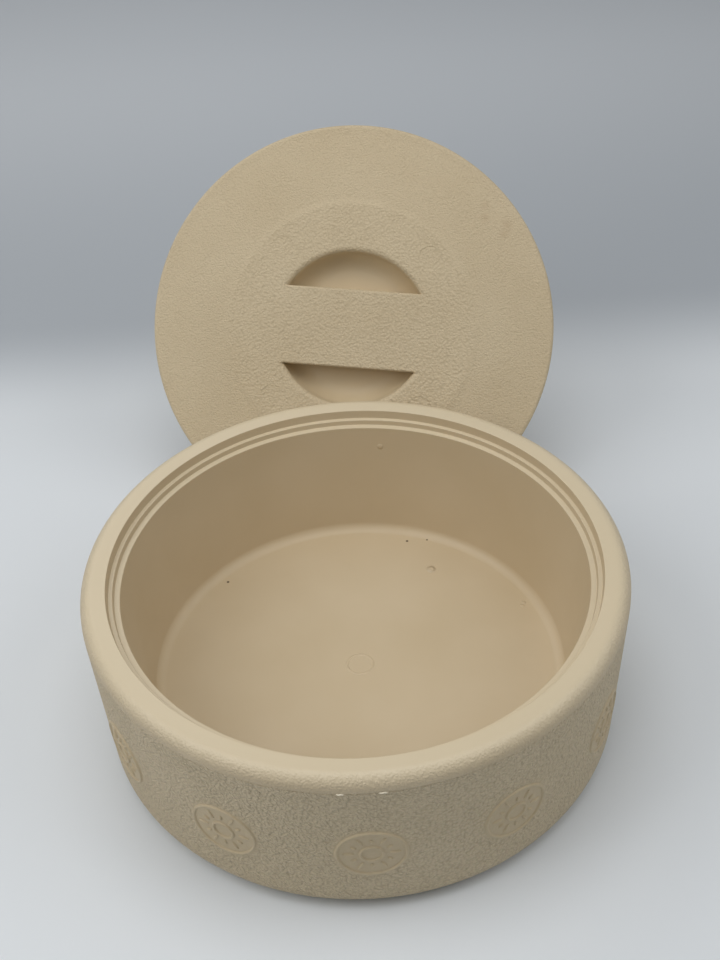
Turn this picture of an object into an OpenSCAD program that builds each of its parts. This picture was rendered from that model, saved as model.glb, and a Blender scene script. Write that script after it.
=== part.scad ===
// Insulated round tortilla warmer: a double-walled bowl and a drop-in lid.
// The bowl stands open on the table. The lid stands behind it on its edge, leaning back,
// with its outer face to the front.
// Millimetres, +Z up. The origin is the centre of the bowl's base, on the table.

/* [Bowl] */
// Diameter across the rim
rim_d = 240; // [225:1:300]
// Height from the table to the top of the rim
bowl_h = 88; // [76:1:120]
// How far the outer wall leans in between the rim and the base
outer_draft = 3.2; // [0:0.1:6]
// Radius of the rounded shoulder outside the rim
shoulder_r = 6; // [3:0.25:8]
// Depth of the seam between liner and shell below the rim
seam_depth = 9.5; // [9:0.25:14]
// Radius of the rounded lower edge
base_round = 12; // [6:0.5:14]

/* [Bowl inside] */
// Height of the inside floor above the table
floor_h = 22; // [16:0.5:26]
// How far the inside wall leans in between the lower ledge and the floor
inner_draft = 8.1; // [1:0.1:12]
// Radius of the fillet between the inside wall and the floor
floor_fillet = 5; // [3:0.5:12]
// Fall of the rim's flat top and of the lower ledge towards the opening
rim_fall = 0.1; // [0.05:0.05:1.5]
// Radius of the lip round the opening
lip_r = 0.3; // [0.2:0.1:1.2]

/* [Lid seat] */
// Width of the rim, from the opening that the lid drops into to the outer face
rim_w = 12.2; // [9:0.1:18]
// Depth of the upper ledge below the rim, on which the lid's edge rests
upper_ledge_depth = 4.2; // [3:0.1:7]
// Width of the upper ledge
upper_ledge_w = 1.8; // [1:0.1:3]
// Height of the step between the two ledges
ledge_step = 2.4; // [1.2:0.1:3]
// Width of the lower ledge
lower_ledge_w = 2.5; // [1:0.1:3]
// How far the step leans in between the two ledges
step_draft = 0.5; // [0.2:0.1:1]
// How far the wall above the upper ledge leans out up to the lip
seat_draft = 0.7; // [0.2:0.1:2]

/* [Walls] */
// Wall of the bowl's liner
liner_wall = 2.4; // [1.8:0.1:3]
// Wall of the bowl's outer shell
shell_wall = 2.5; // [1.8:0.1:3]
// Height of the tongue that holds the shell inside the liner's skirt
tongue_h = 3.5; // [2:0.25:4]
// Play between the tongue and the skirt
tongue_play = 0.2; // [0.1:0.05:0.4]

/* [Lid] */
// Play between the lid's edge and the opening, all round
lid_play = 0.8; // [0.4:0.1:1.5]
// Height of the lid's straight edge
edge_h = 2.6; // [2:0.1:3.5]
// Radius of the lid's rounded upper edge
edge_round = 1.8; // [1:0.1:2.5]
// Rise of the cover from its edge to the central field
crown = 2.4; // [1:0.1:5]
// Diameter of the level central field
field_d = 132.6; // [112:0.2:150]
// Height of the small step round the central field
field_step = 0.3; // [0.1:0.05:0.6]
// Wall of the cover and the tray
lid_wall = 2.2; // [1.6:0.1:2.6]

/* [Finger wells] */
// Diameter of the round well under the grip
well_d = 81; // [70:0.5:92]
// Depth of the well below the central field
well_depth = 15; // [10:0.5:16]
// Radius of the well's rounded upper edge
well_edge_r = 3; // [2.8:0.1:4]
// Radius of the well's dished lower corner
well_dish_r = 10; // [6:0.5:12]
// Width of the grip bar that crosses the well
grip_w = 41.5; // [30:0.5:50]

/* [Lid tray] */
// Play between the tray and the inside of the cover's skirt
tray_play = 0.2; // [0.1:0.05:0.5]
// Play between the tray and the lower ledge
ledge_play = 0.3; // [0.1:0.05:0.6]
// Play between the tray's plug and the bowl's inside wall
plug_play = 1.8; // [1:0.1:3]
// Depth of the plug below the upper ledge
plug_depth = 7; // [5:0.25:9]
// Room between the well's underside and the boss that clears it
boss_room = 1.2; // [0.5:0.1:3]

/* [Lid at rest] */
// Lean of the lid back from upright
lid_lean = 36; // [28:0.5:40]
// Turn of the lid about the vertical
lid_turn = -7.4; // [-15:0.1:15]
// Roll of the lid on its own axis, which slants the grip
lid_roll = -3.5; // [-20:0.1:20]
// Distance of the lid's middle to the right of the bowl's
lid_aside = 6.7; // [-10:0.1:10]
// Gap between the bowl and the lid's foot
foot_gap = 1.1; // [0.8:0.1:20]

/* [Hidden] */
$fn = 180;
arc_steps = 10;

// Bowl: radii of the outside and of the lid seat, and heights of its levels
rim_r = rim_d / 2;
base_r = rim_r - outer_draft;
seat_r = rim_r - rim_w;
lip_edge_r = seat_r + seat_draft;
step_top_r = seat_r - upper_ledge_w;
step_foot_r = step_top_r - step_draft;
mouth_r = step_foot_r - lower_ledge_w;
floor_r = mouth_r - inner_draft;
upper_ledge_z = bowl_h - upper_ledge_depth;
lower_ledge_z = upper_ledge_z - ledge_step;
seam_z = bowl_h - seam_depth;
skirt_in_r = rim_r - liner_wall;
tongue_r = skirt_in_r - tongue_play;
flat_r = base_r - base_round;

// Lid: radii and heights from the underside of its edge
lid_r = seat_r - lid_play;
cover_skirt_r = lid_r - lid_wall;
edge_top = edge_h + edge_round;
field_r = field_d / 2;
field_z = edge_top + crown;
tray_r = cover_skirt_r - tray_play;
plug_r = mouth_r - plug_play;
tray_lip = ledge_step - ledge_play;
well_r = well_d / 2;
well_floor = field_z - well_depth;
boss_r = well_r + lid_wall + boss_room;
boss_floor = well_floor - lid_wall - boss_room;
rib_r = plug_r - lid_wall;
beyond = 2 * rim_d;

// Lid at rest: its lower edge stands on the table, clear of the bowl
lid_y = base_r + foot_gap + edge_h * cos(lid_lean) + lid_r * sin(lid_lean) * cos(lid_turn);
lid_z = lid_r * cos(lid_lean);

// Points of an arc round a centre, from one angle to another
function arc(centre, radius, from, to) = [for (i = [0:arc_steps])
    let (angle = from + (to - from) * i / arc_steps)
    centre + radius * [cos(angle), sin(angle)]];

function flipped(path) = [for (i = [len(path) - 1:-1:0]) path[i]];

// The liner as the food sees it, from the middle of the floor up and out to the seam
function liner_face() = concat(
    [[0, floor_h]],
    arc([floor_r - floor_fillet, floor_h + floor_fillet], floor_fillet, -90, 0),
    [[mouth_r, lower_ledge_z - rim_fall],
     [step_foot_r, lower_ledge_z],
     [step_top_r, upper_ledge_z],
     [seat_r, upper_ledge_z]],
    arc([lip_edge_r + lip_r, bowl_h - rim_fall - lip_r], lip_r, 180, 90),
    arc([rim_r - shoulder_r, bowl_h - shoulder_r], shoulder_r, 90, 0),
    [[rim_r, seam_z]]);

// The liner's hidden side, from under the floor up and out to the skirt
function liner_back() = concat(
    [[0, floor_h - liner_wall]],
    arc([floor_r - floor_fillet, floor_h + floor_fillet], floor_fillet + liner_wall, -90, 0),
    [[mouth_r + liner_wall, lower_ledge_z - liner_wall],
     [step_foot_r + liner_wall, lower_ledge_z - liner_wall],
     [seat_r + liner_wall, upper_ledge_z - liner_wall],
     [lip_edge_r + liner_wall, bowl_h - rim_fall - liner_wall],
     [rim_r - shoulder_r, bowl_h - liner_wall]],
    arc([rim_r - shoulder_r, bowl_h - shoulder_r], shoulder_r - liner_wall, 90, 0),
    [[skirt_in_r, seam_z]]);

// The shell's inner side, from the middle of its floor up to the top of the tongue
function shell_inside() = concat(
    [[0, shell_wall]],
    arc([flat_r, base_round], base_round - shell_wall, -90, 0),
    [[tongue_r - shell_wall, seam_z + tongue_h]]);

// The shell's outer side, from the middle of the base out and up to the seam
function shell_outside() = concat(
    [[0, 0]],
    arc([flat_r, base_round], base_round, -90, 0),
    [[rim_r, seam_z]]);

// The cover's outer face, from its middle to the lower corner of its edge
function cover_face() = concat(
    [[0, field_z], [field_r, field_z], [field_r + field_step, field_z - field_step]],
    arc([lid_r - edge_round, edge_h], edge_round, 90, 0),
    [[lid_r, 0]]);

// The cover's underside, from its middle to the inner corner of its skirt
function cover_back() = [
    [0, field_z - lid_wall],
    [field_r, field_z - lid_wall],
    [cover_skirt_r, edge_top - lid_wall],
    [cover_skirt_r, 0]];

// The tray's upper side and its underside, from the middle outwards
function tray_inside() = [
    [0, boss_floor],
    [boss_r, boss_floor],
    [boss_r + lid_wall, lid_wall - plug_depth],
    [rib_r, lid_wall - plug_depth],
    [rib_r, 0]];
function tray_outside() = [
    [0, boss_floor - lid_wall],
    [boss_r + lid_wall, boss_floor - lid_wall],
    [boss_r + 2 * lid_wall, -plug_depth],
    [plug_r, -plug_depth],
    [plug_r, -tray_lip],
    [tray_r, -tray_lip],
    [tray_r, 0]];

// A round body turned from a closed outline
module turned(outline) {
    rotate_extrude() polygon(outline);
}

// The outline of the well, or of the wall round it when it is grown
function well_outline(grow) = concat(
    [[0, well_floor - grow]],
    arc([well_r - well_dish_r, well_floor + well_dish_r], well_dish_r + grow, -90, 0),
    arc([well_r + well_edge_r, field_z - well_edge_r], well_edge_r - grow, 180, 90),
    [[well_r + well_edge_r, field_z + lid_wall], [0, field_z + lid_wall]]);

// The two finger wells, one on each side of the grip bar
module finger_wells(grow) {
    difference() {
        turned(well_outline(grow));
        cube([beyond, grip_w - 2 * grow, beyond], center = true);
    }
}

// Sets a piece of the lid up behind the bowl
module leaning() {
    translate([lid_aside, lid_y, lid_z])
        rotate([90 - lid_lean, 0, lid_turn])
            rotate([0, 0, lid_roll])
                children();
}

// Inner bowl, with the stepped lid seat and the rolled rim, in one moulding
module bowl_liner() {
    color("#cdbda3")
        turned(concat(liner_face(), flipped(liner_back())));
}

// Outer shell: its top edge meets the rim's skirt, and a tongue reaches up inside it
module bowl_shell() {
    color("#a3957f")
        turned(concat(
            shell_outside(),
            [[tongue_r, seam_z], [tongue_r, seam_z + tongue_h]],
            flipped(shell_inside())));
}

// Insulating foam between liner and shell
module bowl_foam() {
    color("#e8dfc8")
        turned(concat(
            shell_inside(),
            [[seat_r + liner_wall, upper_ledge_z - liner_wall],
             [step_foot_r + liner_wall, lower_ledge_z - liner_wall],
             [mouth_r + liner_wall, lower_ledge_z - liner_wall]],
            flipped(arc([floor_r - floor_fillet, floor_h + floor_fillet], floor_fillet + liner_wall, -90, 0)),
            [[0, floor_h - liner_wall]]));
}

// Lid cover: crowned disc with a turned-down edge, two finger wells and the grip between them
module lid_cover() {
    color("#b7a78c") leaning()
        difference() {
            union() {
                turned(concat(cover_face(), flipped(cover_back())));
                intersection() {
                    finger_wells(lid_wall);
                    translate([0, 0, field_z - lid_wall / 2 - beyond])
                        cylinder(h = beyond, r = field_r);
                }
            }
            finger_wells(0);
        }
}

// Lid tray: the underside, with the plug that fills the bowl's mouth and a boss under the wells
module lid_tray() {
    color("#bcab90") leaning()
        turned(concat(tray_outside(), flipped(tray_inside())));
}

// Insulating foam that fills the lid
module lid_foam() {
    color("#e8dfc8") leaning()
        difference() {
            turned(concat(
                tray_inside(),
                [[rib_r, edge_top + (field_z - edge_top) * (cover_skirt_r - rib_r)
                    / (cover_skirt_r - field_r) - lid_wall],
                 [field_r, field_z - lid_wall],
                 [0, field_z - lid_wall]]));
            finger_wells(lid_wall);
        }
}

bowl_liner();
bowl_shell();
bowl_foam();
lid_cover();
lid_tray();
lid_foam();
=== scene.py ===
# %% [markdown]
# # Dressing a tortilla warmer
# The object is a round, double-walled bowl of beige plastic and its drop-in lid. The bowl stands open and
# the lid stands behind it on its edge, leaning back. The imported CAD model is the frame: each piece made here
# lies where its CAD node lies and moves with the same body.

# %% Load the frame
import math
import bpy
from mathutils import Matrix, Vector


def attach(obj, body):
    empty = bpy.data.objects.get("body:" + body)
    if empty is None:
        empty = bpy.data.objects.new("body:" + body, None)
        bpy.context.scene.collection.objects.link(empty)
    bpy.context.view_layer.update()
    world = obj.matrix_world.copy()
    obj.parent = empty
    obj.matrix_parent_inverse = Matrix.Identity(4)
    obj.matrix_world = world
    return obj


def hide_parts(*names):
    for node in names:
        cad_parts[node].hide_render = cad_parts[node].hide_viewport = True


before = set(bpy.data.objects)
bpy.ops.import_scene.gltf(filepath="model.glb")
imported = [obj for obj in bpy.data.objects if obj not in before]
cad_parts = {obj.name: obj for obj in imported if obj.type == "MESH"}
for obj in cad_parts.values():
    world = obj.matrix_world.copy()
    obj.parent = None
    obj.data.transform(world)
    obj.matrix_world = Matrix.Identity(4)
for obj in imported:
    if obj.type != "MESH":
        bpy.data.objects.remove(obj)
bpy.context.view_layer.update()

MM = 0.001

# %% [markdown]
# ## Camera
# The photograph looks down into the bowl from the front, from about 690 mm off the middle of its base. The
# lens, the place and the tilt were found by fitting the rim, the two ledges, both outlines and the lid's
# rings to the picture. The camera comes first.

# %% Camera
LENS_PIXELS, FRAME_LONG_SIDE = 1427.3, 960
pitch, yaw, roll = (math.radians(a) for a in (40.09, 0.59, -3.16))
eye = Vector((-0.04, -454.6, 516.9)) * MM

ahead = Vector((math.sin(yaw) * math.cos(pitch), math.cos(yaw) * math.cos(pitch), -math.sin(pitch)))
level_right = ahead.cross(Vector((0, 0, 1))).normalized()
level_up = level_right.cross(ahead)
right = level_right * math.cos(roll) + level_up * math.sin(roll)
up = level_up * math.cos(roll) - level_right * math.sin(roll)

camera = bpy.data.objects.new("camera", bpy.data.cameras.new("camera"))
bpy.context.scene.collection.objects.link(camera)
camera.data.lens = camera.data.sensor_width * LENS_PIXELS / FRAME_LONG_SIDE
camera.matrix_world = Matrix((
    (right.x, up.x, -ahead.x, eye.x),
    (right.y, up.y, -ahead.y, eye.y),
    (right.z, up.z, -ahead.z, eye.z),
    (0, 0, 0, 1)))
bpy.context.scene.camera = camera
bpy.context.scene.view_settings.view_transform = "Standard"
print(f"camera: lens {camera.data.lens:.1f} mm, {eye.length / MM:.0f} mm from the base's middle")

# %% [markdown]
# ## Sizes
# These are the sizes of the CAD source, in millimetres, with two changes that the photograph asks for: the
# seam lies 2.5 mm higher, just under the shoulder, and the lid has a narrow level border inside its edge. The
# tongue hidden behind the rim's skirt is 0.5 mm shorter. The radii are worked out from the rim inwards and
# the heights from the rim down, as in the source.

# %% Sizes of the bowl in mm
rim_r, rim_w, rim_fall, bowl_h = 120, 12.2, 0.1, 88
outer_draft, shoulder_r, base_round, seam_depth = 3.2, 6, 12, 7
upper_ledge_depth, upper_ledge_w, lower_ledge_w, ledge_step = 4.2, 1.8, 2.5, 2.4
seat_draft, step_draft, inner_draft = 0.7, 0.5, 8.1
floor_h, floor_fillet = 22, 5
liner_wall, tongue_play, tongue_h = 2.4, 0.2, 3

base_r = rim_r - outer_draft
seat_r = rim_r - rim_w
lip_edge_r = seat_r + seat_draft
step_top_r = seat_r - upper_ledge_w
step_foot_r = step_top_r - step_draft
mouth_r = step_foot_r - lower_ledge_w
floor_r = mouth_r - inner_draft
upper_ledge_z = bowl_h - upper_ledge_depth
lower_ledge_z = upper_ledge_z - ledge_step
seam_z = bowl_h - seam_depth
print(f"mouth {2 * mouth_r:.1f} mm across, ledges {upper_ledge_z:.1f} and {lower_ledge_z:.1f} mm high")

# %% [markdown]
# The lid has a frame of its own: its origin is in the middle of the underside of its edge, and its Z axis
# points out of its face. So the lid can be turned like any round part and then leant back into its place.

# %% Sizes of the lid in mm
lid_play, lid_wall, edge_h, edge_round, crown = 0.8, 2.2, 2.6, 1.8, 2.4
field_r, field_step, border_w, border_z = 66.3, 0.3, 5.3, 4.2
well_r, well_depth, well_edge_r, well_dish_r, grip_half = 40.5, 15, 3, 10, 20.75
tray_play, ledge_play, plug_play, plug_depth, boss_room = 0.2, 0.3, 1.8, 7, 1.2
foot_gap, lid_aside = 1.1, 6.7
lean, turn_about, lid_roll = (math.radians(a) for a in (36, -7.4, -3.5))

lid_r = seat_r - lid_play
field_z = edge_h + edge_round + crown
well_floor = field_z - well_depth
tray_r = lid_r - lid_wall - tray_play
tray_lip = ledge_step - ledge_play
plug_r = mouth_r - plug_play
boss_top_r = well_r + 2 * lid_wall + boss_room
boss_r = boss_top_r + lid_wall
boss_depth = 2 * lid_wall + boss_room - well_floor

lid_origin = Vector((
    lid_aside,
    base_r + foot_gap + edge_h * math.cos(lean) + lid_r * math.sin(lean) * math.cos(turn_about),
    lid_r * math.cos(lean)))
lid_place = (Matrix.Translation(lid_origin * MM)
             @ Matrix.Rotation(turn_about, 4, "Z")
             @ Matrix.Rotation(math.pi / 2 - lean, 4, "X")
             @ Matrix.Rotation(lid_roll, 4, "Z"))
print("lid's middle in mm:", [round(x, 1) for x in lid_origin])

# %% [markdown]
# ## Turned outlines
# Nearly every piece of this object is round, so it is turned from an outline, as on a lathe. An outline is a
# list of corners, each with its radius, its height and its rounding. Moulded plastic has no truly sharp
# corner, and the small roundings catch the thin lines of light that the photograph shows. The outline runs
# with the plastic on its right, so that the faces point outwards.

# %% Rounded outline
def rounded(corners, steps=8):
    """The outline as (radius, height) points, with an arc at each (radius, height, rounding) corner."""
    outline = []
    for i, (r, z, rounding) in enumerate(corners):
        corner = Vector((r, z))
        if rounding == 0 or i in (0, len(corners) - 1):
            outline.append(corner)
            continue
        back = Vector(corners[i - 1][:2]) - corner
        on = Vector(corners[i + 1][:2]) - corner
        half = back.angle(on) / 2
        reach = min(rounding / math.tan(half), back.length, on.length)
        radius = reach * math.tan(half)
        centre = corner + (back.normalized() + on.normalized()).normalized() * radius / math.sin(half)
        first, last = corner + back.normalized() * reach - centre, corner + on.normalized() * reach - centre
        sweep = first.angle_signed(last)
        for step in range(steps + 1):
            a = -sweep * step / steps
            outline.append(centre + Vector((first.x * math.cos(a) - first.y * math.sin(a),
                                            first.x * math.sin(a) + first.y * math.cos(a))))
    return [(p.x, p.y) for p in outline]


print("an outline with one rounded corner:", len(rounded([(0, 0, 0), (9, 0, 2), (9, 9, 0)])), "points")

# %% [markdown]
# ## From outline to mesh
# A ring of points is made for each point of the outline and neighbouring rings are joined by faces. Smooth
# shading alone would smear the light of a small rounding over the wide faces beside it, so the normals are
# weighted by face size, which keeps wide faces flat to the eye. A leaning piece is leant in its mesh, while
# the object's own axes stay upright, so that its box is no bigger than the piece.

# %% Mesh helpers
RING_POINTS, SHARP_ANGLE = 288, math.radians(50)
AROUND = [math.tau * i / RING_POINTS for i in range(RING_POINTS)]


def finish_piece(name, points, faces, body, material, replaces=(), place=None):
    """A smooth-shaded piece from points in mm, set in its place, riding on its body."""
    mesh = bpy.data.meshes.new(name)
    mesh.from_pydata([Vector(p) * MM for p in points], [], faces)
    if place is not None:
        mesh.transform(place)
    mesh.validate()
    mesh.shade_smooth()
    mesh.set_sharp_from_angle(angle=SHARP_ANGLE)
    mesh.materials.append(material)
    piece = bpy.data.objects.new(name, mesh)
    bpy.context.scene.collection.objects.link(piece)
    weighted = piece.modifiers.new("wide faces stay flat", "WEIGHTED_NORMAL")
    weighted.keep_sharp = True
    if replaces:
        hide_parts(*replaces)
    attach(piece, body)
    print(f"{name}: {len(points)} points, {len(faces)} faces")
    return piece


def turned_mesh(outline, angles):
    """Points and faces of an outline turned about Z, with a ring of points at these angles."""
    points, faces, rings = [], [], []
    for r, z in outline:
        if r == 0:
            rings.append([len(points)] * len(angles))
            points.append((0, 0, z))
        else:
            rings.append(range(len(points), len(points) + len(angles)))
            points.extend((r * math.cos(a), r * math.sin(a), z) for a in angles)
    for inner, outer in zip(rings, rings[1:]):
        for i in range(len(angles)):
            j = (i + 1) % len(angles)
            faces.append(list(dict.fromkeys((inner[i], outer[i], outer[j], inner[j]))))
    return points, faces


print("a ring has", RING_POINTS, "points")

# %% [markdown]
# ## Colour and nodes
# A colour is written as the sRGB hex value read off the picture, and one function turns
# it to the linear values that the shader needs. Another adds a node with its settings and its links.

# %% Colour and node helpers
def linear(hex_colour):
    """sRGB hex to linear RGBA."""
    parts = [int(hex_colour[i:i + 2], 16) / 255 for i in (1, 3, 5)]
    return tuple(c / 12.92 if c <= 0.04045 else ((c + 0.055) / 1.055) ** 2.4 for c in parts) + (1,)


def add_node(tree, kind, inputs=None, **settings):
    """One node, with its settings, and with its inputs given as values or as sockets to link."""
    made = tree.nodes.new(kind)
    for name, value in settings.items():
        setattr(made, name, value)
    for name, value in (inputs or {}).items():
        if isinstance(value, bpy.types.NodeSocket):
            tree.links.new(value, made.inputs[name])
        else:
            made.inputs[name].default_value = value
    return made


def new_material(name):
    """A material with its node tree and its shader."""
    material = bpy.data.materials.new(name)
    material.use_nodes = True
    return material, material.node_tree, material.node_tree.nodes["Principled BSDF"]


print("#808080 in linear light:", round(linear("#808080")[0], 3))

# %% [markdown]
# ## Patterns that the plastics share
# Each pattern's scale comes from a real width in millimetres. All the mouldings drift a little in tone. A
# moulded grain is a pattern of cells, bent by noise so that no two pebbles are alike. Specks, blisters,
# smudges and pin marks are all round spots with a soft edge.

# %% Shared patterns
def per_metre(size_mm):
    """Noise scale at which one blotch is this many millimetres across."""
    return 1 / (size_mm * MM)


def flattened(tree, place):
    """The place without its height, whose length is the distance from the axis."""
    return add_node(tree, "ShaderNodeVectorMath", {0: place, 1: (1, 1, 0)}, operation="MULTIPLY").outputs[0]


def cloudy_tint(tree, place, width_mm, darker, lighter, detail=3.0):
    """A colour that drifts between two tones, in clouds of this width."""
    cloud = add_node(tree, "ShaderNodeTexNoise",
                     {"Vector": place, "Scale": per_metre(width_mm), "Detail": detail})
    tint = add_node(tree, "ShaderNodeValToRGB", {"Fac": cloud.outputs["Fac"]})
    first, last = tint.color_ramp.elements
    first.position, last.position = 0.3, 0.7
    first.color, last.color = linear(darker), linear(lighter)
    return tint.outputs["Color"]


def pebbles(tree, place, width_mm):
    """A moulded grain of this width: 0 on top of each pebble, rising to about 0.8 in the valleys."""
    bend_width, bend_reach = 1.8 * width_mm, 0.9 * width_mm
    bend = add_node(tree, "ShaderNodeTexNoise",
                    {"Vector": place, "Scale": per_metre(bend_width), "Detail": 2.0})
    shift = add_node(tree, "ShaderNodeVectorMath", {0: bend.outputs["Color"], 1: (bend_reach * MM,) * 3},
                     operation="MULTIPLY")
    bent = add_node(tree, "ShaderNodeVectorMath", {0: place, 1: shift.outputs[0]}, operation="ADD")
    cells = add_node(tree, "ShaderNodeTexVoronoi", {"Vector": bent.outputs[0], "Scale": per_metre(width_mm)})
    return cells.outputs["Distance"]


def nearness(tree, place, spot_mm, inner_mm, outer_mm):
    """1 within the inner distance of a spot, 0 beyond the outer one."""
    far = add_node(tree, "ShaderNodeVectorMath", {0: place, 1: Vector(spot_mm) * MM}, operation="DISTANCE")
    near = add_node(tree, "ShaderNodeMapRange",
                    {"Value": far.outputs["Value"], "From Min": inner_mm * MM, "From Max": outer_mm * MM,
                     "To Min": 1.0, "To Max": 0.0}, interpolation_type="SMOOTHSTEP")
    return near.outputs["Result"]


print("noise scale for blotches 1 mm wide:", round(per_metre(1)))

# %% [markdown]
# ## Liner: polypropylene, injection moulded, satin
# The inner bowl and its rim come out of a smoothly blasted steel mould. Polypropylene has an IOR of about
# 1.49, and a satin moulding a roughness of 0.4 to 0.55. The blasting is far too fine to see, so it is drawn
# 0.9 mm wide, very low, and a slower waviness gives the slightly uneven sheen of a thick moulding.

# %% Satin moulding
POLYPROPYLENE_IOR = 1.49


def satin_surface(tree, place):
    """Colour, roughness and normal of the bare satin moulding."""
    colour = cloudy_tint(tree, place, 55, "#C6B392", "#CCBA9B")
    sheen = add_node(tree, "ShaderNodeTexNoise", {"Vector": place, "Scale": per_metre(9), "Detail": 4.0})
    rough = add_node(tree, "ShaderNodeMapRange",
                     {"Value": sheen.outputs["Fac"], "To Min": 0.42, "To Max": 0.56})
    waves = add_node(tree, "ShaderNodeTexNoise", {"Vector": place, "Scale": per_metre(14), "Detail": 1.0})
    low = add_node(tree, "ShaderNodeBump",
                   {"Height": waves.outputs["Fac"], "Distance": 0.25 * MM, "Strength": 0.35})
    blast = add_node(tree, "ShaderNodeTexNoise", {"Vector": place, "Scale": per_metre(0.9), "Detail": 2.0})
    fine = add_node(tree, "ShaderNodeBump",
                    {"Height": blast.outputs["Fac"], "Distance": 0.04 * MM, "Strength": 0.6,
                     "Normal": low.outputs["Normal"]})
    return colour, rough.outputs["Result"], fine.outputs["Normal"]


print("satin moulding: IOR", POLYPROPYLENE_IOR)

# %% [markdown]
# The level faces of the rim and the ledges are painted paler, which is painted light on the faces that look
# up, and they are smoother, as hands and the lid have worn them. The rim's rounded shoulder has a fine pebbled
# grain. The inside has a few specks of charred plastic and a few small blisters, as in most such mouldings. A
# speck is given by its place and radius, a blister by its place, its radius and its height, and each is at its
# full strength over a share of its radius, its core.

# %% Liner material
SPECKS = (((-63.3, 60.7, 22), 0.9), ((27.8, 82.6, 22), 0.9), ((38, 82.5, 22), 0.65))
BLISTERS = (((38.3, 60.9, 22), 2.6, 0.9), ((16.6, 99.8, 70.9), 1.8, 0.35), ((80.2, 31.6, 22), 1.2, 0.3),
            ((81.2, 33.6, 22), 1.2, 0.3))
SPECK_CORE, BLISTER_CORE = 0.4, 0.35
# Painted light and wear on the level faces: the width over which they fade in past the mouth, the share of the
# paler tone, and how much smoother the faces are.
LIT_AND_WORN_FADE, PAINTED_LIGHT_SHARE, WORN_SMOOTHER = 0.4, 0.8, 0.17
LEVEL_FROM, LEVEL_FULL = 0.3, 0.95
SHOULDER_GRAIN = 1.0


def level_face_light_and_wear(tree, normal, off_axis):
    """How much painted light and wear a place gets: 1 on the level faces of the rim and the ledges, 0 on walls
    and inside.
    """
    on_rim = add_node(tree, "ShaderNodeMapRange", {"Value": off_axis, "From Min": mouth_r * MM,
                                                   "From Max": (mouth_r + LIT_AND_WORN_FADE) * MM})
    facing = add_node(tree, "ShaderNodeSeparateXYZ", {"Vector": normal})
    level = add_node(tree, "ShaderNodeMapRange",
                     {"Value": facing.outputs["Z"], "From Min": LEVEL_FROM, "From Max": LEVEL_FULL})
    return add_node(tree, "ShaderNodeMath", {0: on_rim.outputs["Result"], 1: level.outputs["Result"]},
                    operation="MULTIPLY").outputs[0]


def liner_plastic():
    material, tree, shader = new_material("polypropylene_satin_moulded")
    own_frame = add_node(tree, "ShaderNodeTexCoord")
    place = own_frame.outputs["Object"]
    colour, rough, normal = satin_surface(tree, place)
    off_axis = add_node(tree, "ShaderNodeVectorMath", {0: flattened(tree, place)},
                        operation="LENGTH").outputs["Value"]
    lit_and_worn = level_face_light_and_wear(tree, own_frame.outputs["Normal"], off_axis)
    # Painted light: the level faces of the rim and the ledges are mixed towards a paler tone.
    painted_light = add_node(tree, "ShaderNodeMath", {0: lit_and_worn, 1: PAINTED_LIGHT_SHARE}, operation="MULTIPLY")
    colour = add_node(tree, "ShaderNodeMixRGB", {"Fac": painted_light.outputs[0], "Color1": colour,
                                                 "Color2": linear("#DACAAB")}).outputs["Color"]
    for spot, radius in SPECKS:
        charred = nearness(tree, place, spot, SPECK_CORE * radius, radius)
        colour = add_node(tree, "ShaderNodeMixRGB", {"Fac": charred, "Color1": colour,
                                                     "Color2": linear("#4A3A28")}).outputs["Color"]
    tree.links.new(colour, shader.inputs["Base Color"])
    smoother = add_node(tree, "ShaderNodeMath", {0: lit_and_worn, 1: WORN_SMOOTHER}, operation="MULTIPLY")
    handled = add_node(tree, "ShaderNodeMath", {0: rough, 1: smoother.outputs[0]}, operation="SUBTRACT")
    tree.links.new(handled.outputs[0], shader.inputs["Roughness"])
    on_shoulder = add_node(tree, "ShaderNodeMapRange", {"Value": off_axis,
                                                        "From Min": (rim_r - shoulder_r) * MM,
                                                        "From Max": (rim_r - 0.2 * shoulder_r) * MM})
    grain = pebbles(tree, place, SHOULDER_GRAIN)
    normal = add_node(tree, "ShaderNodeBump",
                      {"Height": grain, "Distance": 0.38 * MM, "Strength": on_shoulder.outputs["Result"],
                       "Normal": normal}, invert=True).outputs["Normal"]
    for spot, radius, height in BLISTERS:
        raised = nearness(tree, place, spot, BLISTER_CORE * radius, radius)
        normal = add_node(tree, "ShaderNodeBump", {"Height": raised, "Distance": height * MM,
                                                   "Normal": normal}).outputs["Normal"]
    tree.links.new(normal, shader.inputs["Normal"])
    shader.inputs["IOR"].default_value = POLYPROPYLENE_IOR
    return material


satin_polypropylene = liner_plastic()
print("made", satin_polypropylene.name)

# %% [markdown]
# ## Bowl liner
# The liner is the smooth inner bowl, the two stepped ledges that take the lid, the rolled rim and the short
# skirt outside it, in one moulding. It is turned from one outline. In the middle of the floor stands a faint
# ring, 12 mm across, where the plastic entered the mould.

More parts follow.
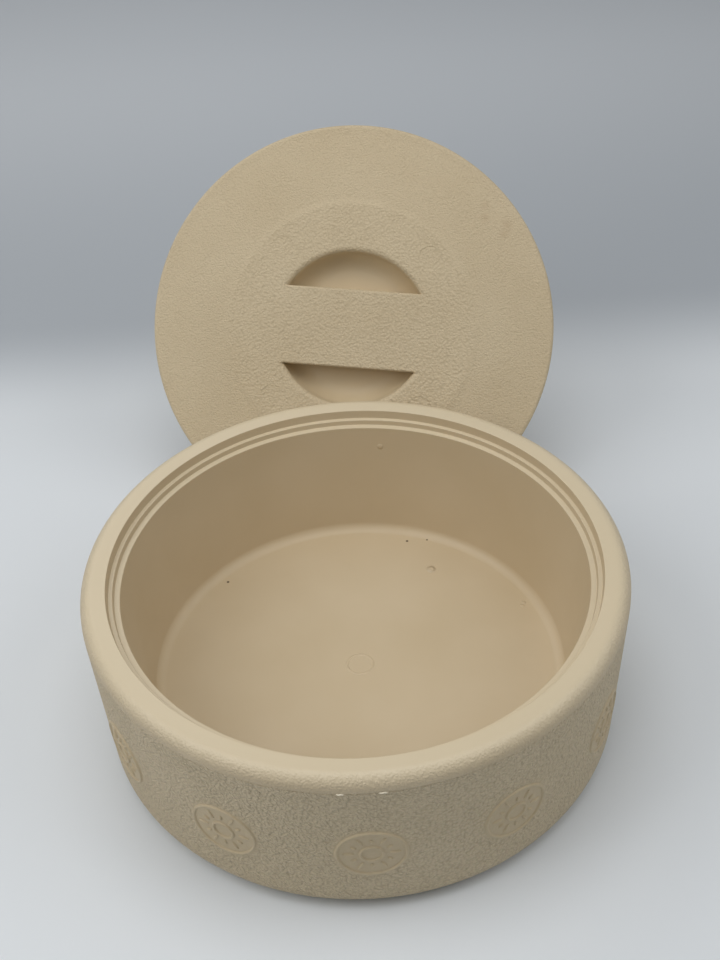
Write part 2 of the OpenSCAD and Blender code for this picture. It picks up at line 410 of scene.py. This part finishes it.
# %% Bowl liner
gate_r, gate_half_w, gate_h = 6, 0.7, 0.3
wall_lean = (mouth_r - floor_r) / (lower_ledge_z - rim_fall - floor_h - floor_fillet)
liner_outline = rounded([
    (0, floor_h, 0),
    (gate_r - gate_half_w, floor_h, 0.3),
    (gate_r, floor_h + gate_h, 0.25),
    (gate_r + gate_half_w, floor_h, 0.3),
    (floor_r - wall_lean * floor_fillet, floor_h, floor_fillet),
    (mouth_r, lower_ledge_z - rim_fall, 0.3),
    (step_foot_r, lower_ledge_z, 0.2),
    (step_top_r, upper_ledge_z, 0.3),
    (seat_r, upper_ledge_z, 0.2),
    (lip_edge_r, bowl_h - rim_fall, 0.3),
    (rim_r - shoulder_r, bowl_h, 0),
    (rim_r, bowl_h, shoulder_r),
    (rim_r, seam_z, 0.3),
    (rim_r - liner_wall, seam_z, 0.2),
    (rim_r - liner_wall, seam_z + tongue_h, 0)], steps=10)
liner = finish_piece("rim_and_inner_bowl", *turned_mesh(liner_outline, AROUND), "bowl", satin_polypropylene,
                     ["bowl_liner"])

# %% [markdown]
# ## Shell: polypropylene, spark-eroded leather grain
# The outer shell's mould was spark eroded, which leaves a fine pebbled grain about 1 mm wide. A cell pattern
# bent by noise gives the pebbles, and their valleys are painted darker, a painted shade. The pebbles are about
# 1.1 mm wide on the real shell and are drawn at 1.3 mm, because the relief of finer ones is lost between the
# pixels. The grain makes the surface matt, so its roughness is higher. Round the raised suns the mould was
# left smooth, so the grain fades out there. Grain shades itself and the smooth patches don't, so they get a
# slightly
# darker tint: on the real shell both look alike.

# %% Patches round the suns
suns, sun_z, sun_patch = 12, 41, 15.5


def distance_from_sun(tree, place):
    """How far a place on the wall is from the middle of the nearest sun, along the wall."""
    xyz = add_node(tree, "ShaderNodeSeparateXYZ", {"Vector": place})
    angle = add_node(tree, "ShaderNodeMath", {0: xyz.outputs["Y"], 1: xyz.outputs["X"]}, operation="ARCTAN2")
    turns = add_node(tree, "ShaderNodeMath", {0: angle.outputs[0], 1: suns / math.tau}, operation="MULTIPLY")
    off = add_node(tree, "ShaderNodeMath", {0: turns.outputs[0], 1: 0.5}, operation="SUBTRACT")
    part = add_node(tree, "ShaderNodeMath", {0: off.outputs[0]}, operation="FRACT")
    centred = add_node(tree, "ShaderNodeMath", {0: part.outputs[0], 1: 0.5}, operation="SUBTRACT")
    along = add_node(tree, "ShaderNodeMath", {0: centred.outputs[0], 1: base_r * MM * math.tau / suns},
                     operation="MULTIPLY")
    above = add_node(tree, "ShaderNodeMath", {0: xyz.outputs["Z"], 1: sun_z * MM}, operation="SUBTRACT")
    flat = add_node(tree, "ShaderNodeCombineXYZ", {"X": along.outputs[0], "Y": above.outputs[0]})
    return add_node(tree, "ShaderNodeVectorMath", {0: flat.outputs[0]}, operation="LENGTH").outputs["Value"]


print("suns:", suns, "at a pitch of", round(base_r * math.tau / suns, 1), "mm along the wall")

# %% Shell material
# The grain's valleys and the smooth patches round the suns are darkened towards this tone, a painted shade.
GRAIN_SHADE, VALLEY_FROM, VALLEY_FULL = "#A08D6C", 0.35, 0.8
SHELL_GRAIN, SHELL_VALLEY_SHADE = 1.3, 0.37
PATCH_EDGE, PATCH_GRAIN, PATCH_DARKER = 0.6, 0.12, 0.3


def shell_plastic():
    material, tree, shader = new_material("polypropylene_leather_grain")
    place = add_node(tree, "ShaderNodeTexCoord").outputs["Object"]
    tint = cloudy_tint(tree, place, 40, "#D2C09F", "#D9C7A7")
    grained = add_node(tree, "ShaderNodeMapRange",
                       {"Value": distance_from_sun(tree, place), "From Min": (sun_patch - PATCH_EDGE) * MM,
                        "From Max": (sun_patch + PATCH_EDGE) * MM, "To Min": PATCH_GRAIN}).outputs["Result"]
    grain = pebbles(tree, place, SHELL_GRAIN)
    # Painted shade: the valleys of the grain, and the smooth patches round the suns, are darkened.
    valleys = add_node(tree, "ShaderNodeMapRange",
                       {"Value": grain, "From Min": VALLEY_FROM, "From Max": VALLEY_FULL})
    valley_shade = add_node(tree, "ShaderNodeMath", {0: valleys.outputs["Result"], 1: grained}, operation="MULTIPLY")
    on_patch = add_node(tree, "ShaderNodeMapRange", {"Value": grained, "From Min": PATCH_GRAIN,
                                                     "To Min": PATCH_DARKER, "To Max": 0.0})
    dark = add_node(tree, "ShaderNodeMath",
                    {0: valley_shade.outputs[0], 1: SHELL_VALLEY_SHADE, 2: on_patch.outputs["Result"]},
                    operation="MULTIPLY_ADD")
    colour = add_node(tree, "ShaderNodeMixRGB",
                      {"Fac": dark.outputs[0], "Color1": tint, "Color2": linear(GRAIN_SHADE)})
    tree.links.new(colour.outputs["Color"], shader.inputs["Base Color"])
    raised = add_node(tree, "ShaderNodeBump", {"Height": grain, "Distance": 1.2 * MM, "Strength": grained},
                      invert=True)
    tree.links.new(raised.outputs["Normal"], shader.inputs["Normal"])
    shader.inputs["Roughness"].default_value = 0.6
    shader.inputs["IOR"].default_value = POLYPROPYLENE_IOR
    return material


grained_polypropylene = shell_plastic()
print("made", grained_polypropylene.name)

# %% [markdown]
# ## Bowl shell
# The shell is the outer wall and the flat base with its well-rounded lower edge. Its upper edge meets the
# rim's skirt in a fine groove, and a hidden tongue reaches up behind the skirt.

# %% Bowl shell
tongue_r = rim_r - liner_wall - tongue_play
shell_outline = rounded([
    (tongue_r, seam_z + tongue_h, 0),
    (tongue_r, seam_z, 0),
    (rim_r, seam_z, 0.35),
    (base_r, 0, base_round),
    (0, 0, 0)], steps=16)
shell = finish_piece("outer_shell", *turned_mesh(shell_outline, AROUND), "bowl", grained_polypropylene,
                     ["bowl_shell"])

# %% [markdown]
# ## Raised suns round the shell
# The shell carries a moulded relief of thin raised lines. Here it is a plain sun in a ring, twelve times
# round, made for this model. Each line is a low rib with a rounded back: it is drawn flat, in millimetres
# along and up the wall, and then wrapped onto the wall. The rib's section is given in shares of its width and
# its height, and its feet lie a little inside the wall. An open rib is narrower and lower at its ends.

# %% Ribs wrapped onto the wall
RIB_SECTION = ((-0.5, -0.15), (-0.32, 0.75), (0, 1), (0.32, 0.75), (0.5, -0.15))
RIB_END = 0.35


def wall_radius(z):
    return base_r + (rim_r - base_r) * z / seam_z


def add_rib(points, faces, line, middle, width=1.5, height=0.8, closed=False):
    """A rounded rib along a line of (along, up) points, on the wall at the angle middle."""
    start, count = len(points), len(line)
    for i, (x, y) in enumerate(line):
        before = Vector(line[i - 1] if i or closed else line[0])
        after = Vector(line[(i + 1) % count] if i < count - 1 or closed else line[-1])
        side = (after - before).normalized().orthogonal()
        taper = RIB_END if not closed and i in (0, count - 1) else 1
        for sideways, out in RIB_SECTION:
            px, py = Vector((x, y)) + side * sideways * width * taper
            z = sun_z + py
            r = wall_radius(z) + out * height * (taper if out > 0 else 1)
            a = middle + px / base_r
            points.append((r * math.cos(a), r * math.sin(a), z))
    n = len(RIB_SECTION)
    for i in range(count if closed else count - 1):
        for k in range(n - 1):
            a, b = start + i * n + k, start + (i + 1) % count * n + k
            faces.append((a, a + 1, b + 1, b))


print("wall's radius at the suns:", round(wall_radius(sun_z), 1), "mm")

# %% Suns
ring_r, disc_r, ray_foot, long_ray, short_ray, rays = 14, 4.6, 6.9, 11.6, 9.6, 12


def circle(radius, count):
    """Points of a circle, evenly spaced."""
    turns = (math.tau * i / count for i in range(count))
    return [(radius * math.cos(a), radius * math.sin(a)) for a in turns]


def ray_line(angle, tip):
    """Five points from the foot of a ray to its tip."""
    lengths = (ray_foot + (tip - ray_foot) * t / 4 for t in range(5))
    return [(math.cos(angle) * length, math.sin(angle) * length) for length in lengths]


sun_points, sun_faces = [], []
for number in range(suns):
    middle = math.tau * number / suns
    add_rib(sun_points, sun_faces, circle(ring_r, 48), middle, closed=True)
    add_rib(sun_points, sun_faces, circle(disc_r, 32), middle, closed=True)
    for ray in range(rays):
        tip = long_ray if ray % 2 == 0 else short_ray
        add_rib(sun_points, sun_faces, ray_line(math.tau * ray / rays, tip), middle)
relief = finish_piece("sun_relief", sun_points, sun_faces, "bowl", grained_polypropylene)

# %% [markdown]
# ## Flash in the seam
# Where liner and shell meet at the front, two crumbs of plastic squeezed out of the joint were never trimmed.
# Torn polypropylene turns whitish, so they are paler than the mouldings. Each is a short, slightly wavy rib
# in the seam, given by its direction from the bowl's axis in degrees and half its length in millimetres.

# %% Flash
CRUMBS = ((-95.1, 1.5), (-87.3, 1.7))
CRUMB_WAVE = 0.15


def torn_plastic():
    material, tree, shader = new_material("polypropylene_torn_flash")
    place = add_node(tree, "ShaderNodeTexCoord").outputs["Object"]
    fibres = add_node(tree, "ShaderNodeTexNoise", {"Vector": place, "Scale": per_metre(0.8)})
    whitened = add_node(tree, "ShaderNodeMixRGB", {"Fac": fibres.outputs["Fac"], "Color1": linear("#D6C8AC"),
                                                   "Color2": linear("#F2E9D6")})
    tree.links.new(whitened.outputs["Color"], shader.inputs["Base Color"])
    shader.inputs["Roughness"].default_value = 0.35
    shader.inputs["IOR"].default_value = POLYPROPYLENE_IOR
    return material


flash_points, flash_faces = [], []
for azimuth, half_length in CRUMBS:
    crumb = [(half_length * t / 3, seam_z - sun_z + CRUMB_WAVE * math.sin(2 * t)) for t in range(-3, 4)]
    add_rib(flash_points, flash_faces, crumb, math.radians(azimuth), width=0.7, height=0.5)
flash = finish_piece("seam_flash", flash_points, flash_faces, "bowl", torn_plastic())

# %% [markdown]
# ## Cover: polypropylene with two grains
# The lid's face has a coarse pebbled grain in its central field and a finer one outside it, while the finger
# wells are smooth. The material first turns its coordinates back into the lid's own frame, where the distance
# from the middle tells which grain a point has. Both grains are about 1 mm wide and are drawn at their size.
# Four faint round marks in the field are where pins pushed the lid out of its mould. Near the edge are a few
# brownish smudges, each given by its place and its radius.

# %% Cover material
FIELD_GRAIN, OUTER_GRAIN, OUTER_STRENGTH, COVER_VALLEY_SHADE = 1.25, 0.95, 0.8, 0.2
PIN_AT, PIN_R, PIN_EDGE, PIN_DEPTH = 39.5, 6.4, 0.35, 0.13
SMUDGES = (((65.5, 69, 5), 4), ((66, 63, 5), 4), ((78, 60, 5), 5), ((77, 55, 5), 4))
SMUDGE_STRENGTH = 0.45


def smudged(tree, place, colour):
    """The colour with the brownish smudges on it."""
    smear = add_node(tree, "ShaderNodeTexNoise", {"Vector": place, "Scale": per_metre(4), "Detail": 3.0})
    for spot, radius in SMUDGES:
        part = add_node(tree, "ShaderNodeMath",
                        {0: nearness(tree, place, spot, 0, radius), 1: smear.outputs["Fac"]},
                        operation="MULTIPLY")
        faint = add_node(tree, "ShaderNodeMath", {0: part.outputs[0], 1: SMUDGE_STRENGTH},
                         operation="MULTIPLY")
        colour = add_node(tree, "ShaderNodeMixRGB", {"Fac": faint.outputs[0], "Color1": colour,
                                                     "Color2": linear("#A5855F")}).outputs["Color"]
    return colour


def cover_plastic():
    material, tree, shader = new_material("polypropylene_coarse_and_fine_grain")
    upright = add_node(tree, "ShaderNodeTexCoord").outputs["Object"]
    place = add_node(tree, "ShaderNodeMapping", {"Vector": upright, "Location": lid_place.translation,
                                                 "Rotation": lid_place.to_euler()},
                     vector_type="TEXTURE").outputs["Vector"]
    tint = cloudy_tint(tree, place, 45, "#CBB896", "#D2C09F", detail=4.0)
    flat = flattened(tree, place)
    off_axis = add_node(tree, "ShaderNodeVectorMath", {0: flat}, operation="LENGTH")
    outside = add_node(tree, "ShaderNodeMapRange",
                       {"Value": off_axis.outputs["Value"], "From Min": (field_r - field_step) * MM,
                        "From Max": (field_r + field_step) * MM}).outputs["Result"]
    xyz = add_node(tree, "ShaderNodeSeparateXYZ", {"Vector": place})
    above_well = add_node(tree, "ShaderNodeMapRange",
                          {"Value": xyz.outputs["Z"], "From Min": (field_z - well_edge_r) * MM,
                           "From Max": (field_z - 0.4) * MM})
    grained = add_node(tree, "ShaderNodeMath", {0: outside, 1: above_well.outputs["Result"]},
                       operation="MAXIMUM").outputs[0]
    grain = add_node(tree, "ShaderNodeMixRGB",
                     {"Fac": outside, "Color1": pebbles(tree, place, FIELD_GRAIN),
                      "Color2": pebbles(tree, place, OUTER_GRAIN)}).outputs["Color"]
    depth = add_node(tree, "ShaderNodeMapRange", {"Value": outside, "To Min": 1.0, "To Max": OUTER_STRENGTH})
    strength = add_node(tree, "ShaderNodeMath", {0: depth.outputs["Result"], 1: grained},
                        operation="MULTIPLY").outputs[0]
    # Painted shade: the valleys of the grain are darkened.
    valleys = add_node(tree, "ShaderNodeMapRange", {"Value": grain, "From Min": VALLEY_FROM,
                                                    "From Max": VALLEY_FULL, "To Max": COVER_VALLEY_SHADE})
    dark = add_node(tree, "ShaderNodeMath", {0: valleys.outputs["Result"], 1: strength}, operation="MULTIPLY")
    colour = add_node(tree, "ShaderNodeMixRGB",
                      {"Fac": dark.outputs[0], "Color1": tint, "Color2": linear(GRAIN_SHADE)}).outputs["Color"]
    tree.links.new(smudged(tree, place, colour), shader.inputs["Base Color"])
    raised = add_node(tree, "ShaderNodeBump", {"Height": grain, "Distance": 0.4 * MM, "Strength": strength},
                      invert=True)
    quarter = add_node(tree, "ShaderNodeVectorMath", {0: flat}, operation="ABSOLUTE")
    disc = nearness(tree, quarter.outputs[0], (PIN_AT, PIN_AT, 0), PIN_R - PIN_EDGE, PIN_R + PIN_EDGE)
    pins = add_node(tree, "ShaderNodeBump", {"Height": disc, "Distance": PIN_DEPTH * MM,
                                             "Normal": raised.outputs["Normal"]}, invert=True)
    tree.links.new(pins.outputs["Normal"], shader.inputs["Normal"])
    rough = add_node(tree, "ShaderNodeMapRange", {"Value": grained, "To Min": 0.46, "To Max": 0.6})
    tree.links.new(rough.outputs["Result"], shader.inputs["Roughness"])
    shader.inputs["IOR"].default_value = POLYPROPYLENE_IOR
    return material


cover_polypropylene = cover_plastic()
print("made", cover_polypropylene.name)

# %% [markdown]
# ## Lid cover
# The cover's face is turned: a level field with a soft edge, a shallow fall, a narrow level border and the
# rounded edge. The well interrupts it: a round dish, crossed by the level grip bar. A boolean would leave
# ragged slivers along the soft edge of the dish, so the mesh's faces are laid out one by one. Each ring of the
# dish stops where it meets the bar, and the bar's upright sides rise from there into a small rounding.

# %% Points of the cover
WELL_STEPS, BAR_STEPS, SOFT_STEPS = 96, 40, 6
cover_points, cover_faces, known = [], [], {}


def cover_point(x, y, z):
    """The number of the point at this place, made if it is new."""
    key = (round(x, 4), round(y, 4), round(z, 4))
    if key not in known:
        known[key] = len(cover_points)
        cover_points.append((x, y, z))
    return known[key]


def cover_face(*corners):
    """A face through these points, without repeated ones."""
    numbers = list(dict.fromkeys(cover_point(*c) for c in corners))
    if len(numbers) > 2:
        cover_faces.append(numbers)


well_lip_r = well_r + well_edge_r
bar_end = math.asin(grip_half / well_lip_r)
over_wells = [bar_end + (math.pi - 2 * bar_end) * i / WELL_STEPS for i in range(WELL_STEPS + 1)]
beside_bar = [-bar_end + 2 * bar_end * i / BAR_STEPS for i in range(1, BAR_STEPS)]
cover_angles = over_wells + [a + math.pi for a in beside_bar] + [a + math.pi for a in over_wells] + beside_bar
print("a ring of the cover has", len(cover_angles), "points")

# %% Face outside the well, edge and underside of the edge
step_in, step_out, skirt_h = 0.9, 2.2, 3
cover_outline = rounded([
    (well_lip_r, field_z, 0),
    (field_r - step_in, field_z, 6),
    (field_r + step_out, field_z - 2 * field_step, 6),
    (lid_r - border_w, border_z, 1.5),
    (lid_r, border_z, edge_round),
    (lid_r, 0, 0.35),
    (lid_r - lid_wall, 0, 0.2),
    (lid_r - lid_wall, skirt_h, 0)])
ring_points, ring_faces = turned_mesh(cover_outline, cover_angles)
for face in ring_faces:
    cover_face(*(ring_points[i] for i in face))
print("faces outside the well:", len(cover_faces))

# %% The wells and the sides of the grip bar
bar_round = 1.2
dish_outline = rounded([
    (well_lip_r + well_edge_r, field_z, 0),
    (well_r, field_z, well_edge_r),
    (well_r, well_floor, well_dish_r),
    (0, well_floor, 0)], steps=12)[1:-1]


def bar_side(x, z):
    """Points up the bar's side over one point of the dish, ending on top of the bar."""
    soft = min(bar_round, (field_z - z) / 2)
    side = [(x, grip_half, z)]
    for step in range(SOFT_STEPS + 1):
        a = math.pi / 2 * step / SOFT_STEPS
        side.append((x, grip_half - soft * (1 - math.cos(a)), field_z - soft * (1 - math.sin(a))))
    return side


def on_half(point, half):
    """The point in the upper well, half 1, or turned half round into the lower well, half -1."""
    return (point[0] * half, point[1] * half, point[2])


rings = []
for r, z in dish_outline:
    first = math.asin(min(1, grip_half / r))
    angles = (first + (math.pi - 2 * first) * i / WELL_STEPS for i in range(WELL_STEPS + 1))
    rings.append([(r * math.cos(a), r * math.sin(a), z) for a in angles])
rings.append([(p[0], grip_half, well_floor) for p in rings[-1]])
foot = [ring[0] for ring in rings[:-1]] + rings[-1][1:-1] + [ring[-1] for ring in reversed(rings[:-1])]
columns = [bar_side(x, z) for x, _, z in foot]
sides = []
for half in (1, -1):
    for outer, inner in zip(rings, rings[1:]):
        for i in range(WELL_STEPS):
            cover_face(*(on_half(p, half) for p in (inner[i], outer[i], outer[i + 1], inner[i + 1])))
    for left, beside in zip(columns, columns[1:]):
        for k in range(len(left) - 1):
            cover_face(*(on_half(p, half) for p in (left[k], beside[k], beside[k + 1], left[k + 1])))
    sides.append([on_half(column[-1], half) for column in columns])
print("faces with both wells:", len(cover_faces))

# %% Top of the bar, and the cover as one piece
near_side, far_side = sides[0], sides[1][::-1]
for i in range(len(near_side) - 1):
    cover_face(near_side[i], near_side[i + 1], far_side[i + 1], far_side[i])
for half_turn in (0, math.pi):
    cover_face(*((well_lip_r * math.cos(a + half_turn), well_lip_r * math.sin(a + half_turn), field_z)
                 for a in [-bar_end] + beside_bar + [bar_end]))
cover = finish_piece("lid_face_with_grip", cover_points, cover_faces, "lid", cover_polypropylene,
                     ["lid_cover"], place=lid_place)

# %% [markdown]
# ## Lid tray
# The underside of the lid is a plain moulding: a flange, a plug that drops into the bowl's mouth, and a boss
# that makes room for the wells. It faces away from the camera, so it is turned from the CAD outline with
# softened corners. It is the same satin plastic as the liner, without the liner's painted light and wear on
# the level faces, its specks and its blisters.

# %% Lid tray
def tray_plastic():
    material, tree, shader = new_material("polypropylene_satin_unworn")
    surface = satin_surface(tree, add_node(tree, "ShaderNodeTexCoord").outputs["Object"])
    for name, socket in zip(("Base Color", "Roughness", "Normal"), surface):
        tree.links.new(socket, shader.inputs[name])
    shader.inputs["IOR"].default_value = POLYPROPYLENE_IOR
    return material


tray_outline = rounded([
    (tray_r, 0, 0),
    (tray_r, -tray_lip, 0.3),
    (plug_r, -tray_lip, 0.4),
    (plug_r, -plug_depth, 1.2),
    (boss_r, -plug_depth, 1.0),
    (boss_top_r, -boss_depth, 1.5),
    (0, -boss_depth, 0)])
tray = finish_piece("lid_underside", *turned_mesh(tray_outline, AROUND), "lid", tray_plastic(), ["lid_tray"],
                    place=lid_place)

# %% [markdown]
# ## Foam: polyurethane, poured and set in the cavity
# The filling of both walls is rigid foam and is never seen, but it stays in the model, so it gets its own
# finish: cream and matt, with cells of about half a millimetre, drawn at 1 mm.

# %% Foam material
def foam_filling():
    material, tree, shader = new_material("polyurethane_foam_poured")
    place = add_node(tree, "ShaderNodeTexCoord").outputs["Object"]
    cells = add_node(tree, "ShaderNodeTexVoronoi", {"Vector": place, "Scale": per_metre(1)})
    tint = add_node(tree, "ShaderNodeValToRGB", {"Fac": cells.outputs["Distance"]})
    pore, wall = tint.color_ramp.elements
    pore.color, wall.color = linear("#D9CDAE"), linear("#EBE2CB")
    tree.links.new(tint.outputs["Color"], shader.inputs["Base Color"])
    pores = add_node(tree, "ShaderNodeBump", {"Height": cells.outputs["Distance"], "Distance": 0.4 * MM})
    tree.links.new(pores.outputs["Normal"], shader.inputs["Normal"])
    shader.inputs["Roughness"].default_value = 0.9
    return material


foam = foam_filling()
for name in ("bowl_foam", "lid_foam"):
    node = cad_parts[name]
    node.data.materials.clear()
    node.data.materials.append(foam)
    print("foam on", name)

# %% [markdown]
# ## Floor and light
# The object stands on a sheet of pale grey paper. Behind the object a darker band is painted on the paper, a
# painted shade that stands for the shaded backdrop, and farther back it is paler again, as in the
# photograph. It is one wide plane, so that it also serves views from the sides and from behind. The lamps
# don't reach its far end, so from 1 m out, beyond the photograph's frame, it fades into the plain tone of the
# backdrop.
# Only rays that come straight from the camera or by a reflection see that tone, so it sheds no light on the
# object.

# %% Floor
BACKDROP, PAPER = "#B9BEC3", "#E5E9EC"
FLOOR_REACH, FADE_FROM, FADE_FULL = 6, 1.0, 2.2
# The darker tones behind the object are painted shade that stands for the shaded backdrop.
# A tone is given by how far behind the bowl's middle it starts and is reached, in metres, and its colour
TONES_BEHIND = ((0.235, 0.34, "#B4B9BE"), (0.36, 0.75, "#D6DADE"))


def in_view(tree):
    """1 for rays that see a surface directly, in a mirror or through glass, 0 for those that gather light."""
    rays = add_node(tree, "ShaderNodeLightPath").outputs
    mirrored = add_node(tree, "ShaderNodeMath", {0: rays["Is Camera Ray"], 1: rays["Is Glossy Ray"]},
                        operation="MAXIMUM")
    return add_node(tree, "ShaderNodeMath", {0: mirrored.outputs[0], 1: rays["Is Transmission Ray"]},
                    operation="MAXIMUM").outputs[0]


def paper():
    material, tree, shader = new_material("paper_pale_grey")
    place = add_node(tree, "ShaderNodeTexCoord").outputs["Object"]
    xyz = add_node(tree, "ShaderNodeSeparateXYZ", {"Vector": place})
    tone = linear(PAPER)
    # Painted shade: the paper darkens in bands behind the object.
    for start, full, shade in TONES_BEHIND:
        share = add_node(tree, "ShaderNodeMapRange",
                         {"Value": xyz.outputs["Y"], "From Min": start, "From Max": full},
                         interpolation_type="SMOOTHSTEP")
        tone = add_node(tree, "ShaderNodeMixRGB", {"Fac": share.outputs["Result"], "Color1": tone,
                                                   "Color2": linear(shade)}).outputs["Color"]
    tree.links.new(tone, shader.inputs["Base Color"])
    shader.inputs["Roughness"].default_value = 0.8
    out = add_node(tree, "ShaderNodeVectorMath", {0: place}, operation="LENGTH")
    far = add_node(tree, "ShaderNodeMapRange",
                   {"Value": out.outputs["Value"], "From Min": FADE_FROM, "From Max": FADE_FULL},
                   interpolation_type="SMOOTHSTEP")
    seen = add_node(tree, "ShaderNodeMath", {0: far.outputs["Result"], 1: in_view(tree)},
                    operation="MULTIPLY")
    plain = add_node(tree, "ShaderNodeEmission", {"Color": linear(BACKDROP)})
    fading = add_node(tree, "ShaderNodeMixShader", {"Fac": seen.outputs[0], 1: shader.outputs["BSDF"],
                                                    2: plain.outputs["Emission"]})
    tree.links.new(fading.outputs["Shader"], tree.nodes["Material Output"].inputs["Surface"])
    return material


floor_corners = [(x * FLOOR_REACH, y * FLOOR_REACH, 0) for x, y in ((-1, -1), (1, -1), (1, 1), (-1, 1))]
floor_mesh = bpy.data.meshes.new("floor")
floor_mesh.from_pydata(floor_corners, [], [(0, 1, 2, 3)])
floor_mesh.materials.append(paper())
floor = bpy.data.objects.new("floor", floor_mesh)
bpy.context.scene.collection.objects.link(floor)
print("floor:", 2 * FLOOR_REACH, "m wide")

# %% [markdown]
# The light is soft and comes from above: level faces are bright, upright ones much darker, and the shadow
# under the bowl's front is short. Five wide round lamps give it. The strongest are overhead and at the left,
# those at the right and at the front left soften the shadows, and the one behind is mirrored in the rim. An
# even, slightly blue world fills in the rest, and shows the backdrop's tone to the camera.

# %% Lamps and world
LAMP_WIDTH, FILL_STRENGTH = 0.8, 0.2
LAMPS = {
    "overhead": ((0, -0.05, 1.2), 3.6),
    "left": ((-0.75, -0.15, 0.85), 3.4),
    "right": ((0.75, -0.15, 0.85), 2.5),
    "front_left": ((-0.5, -0.6, 0.9), 1.2),
    "behind_left": ((-0.4, 0.8, 0.8), 1.2)}


def soft_lamp(name, place, watts):
    """A wide round lamp at this place, aimed at the origin."""
    lamp = bpy.data.lights.new(name, "AREA")
    lamp.shape, lamp.size, lamp.energy = "DISK", LAMP_WIDTH, watts
    holder = bpy.data.objects.new(name, lamp)
    bpy.context.scene.collection.objects.link(holder)
    holder.location = place
    holder.rotation_euler = (-Vector(place)).to_track_quat("-Z", "Y").to_euler()


for name, (place, watts) in LAMPS.items():
    soft_lamp(name, place, watts)

world = bpy.data.worlds.new("room")
world.use_nodes = True
room = world.node_tree
fill = room.nodes["Background"]
fill.inputs["Color"].default_value = linear("#E4E9EE")
fill.inputs["Strength"].default_value = FILL_STRENGTH
backdrop = add_node(room, "ShaderNodeBackground", {"Color": linear(BACKDROP), "Strength": 1.0})
either = add_node(room, "ShaderNodeMixShader", {"Fac": in_view(room), 1: fill.outputs["Background"],
                                                2: backdrop.outputs["Background"]})
room.links.new(either.outputs["Shader"], room.nodes["World Output"].inputs["Surface"])
bpy.context.scene.world = world
print("lamps:", round(sum(watts for _, watts in LAMPS.values()), 1), "W together")
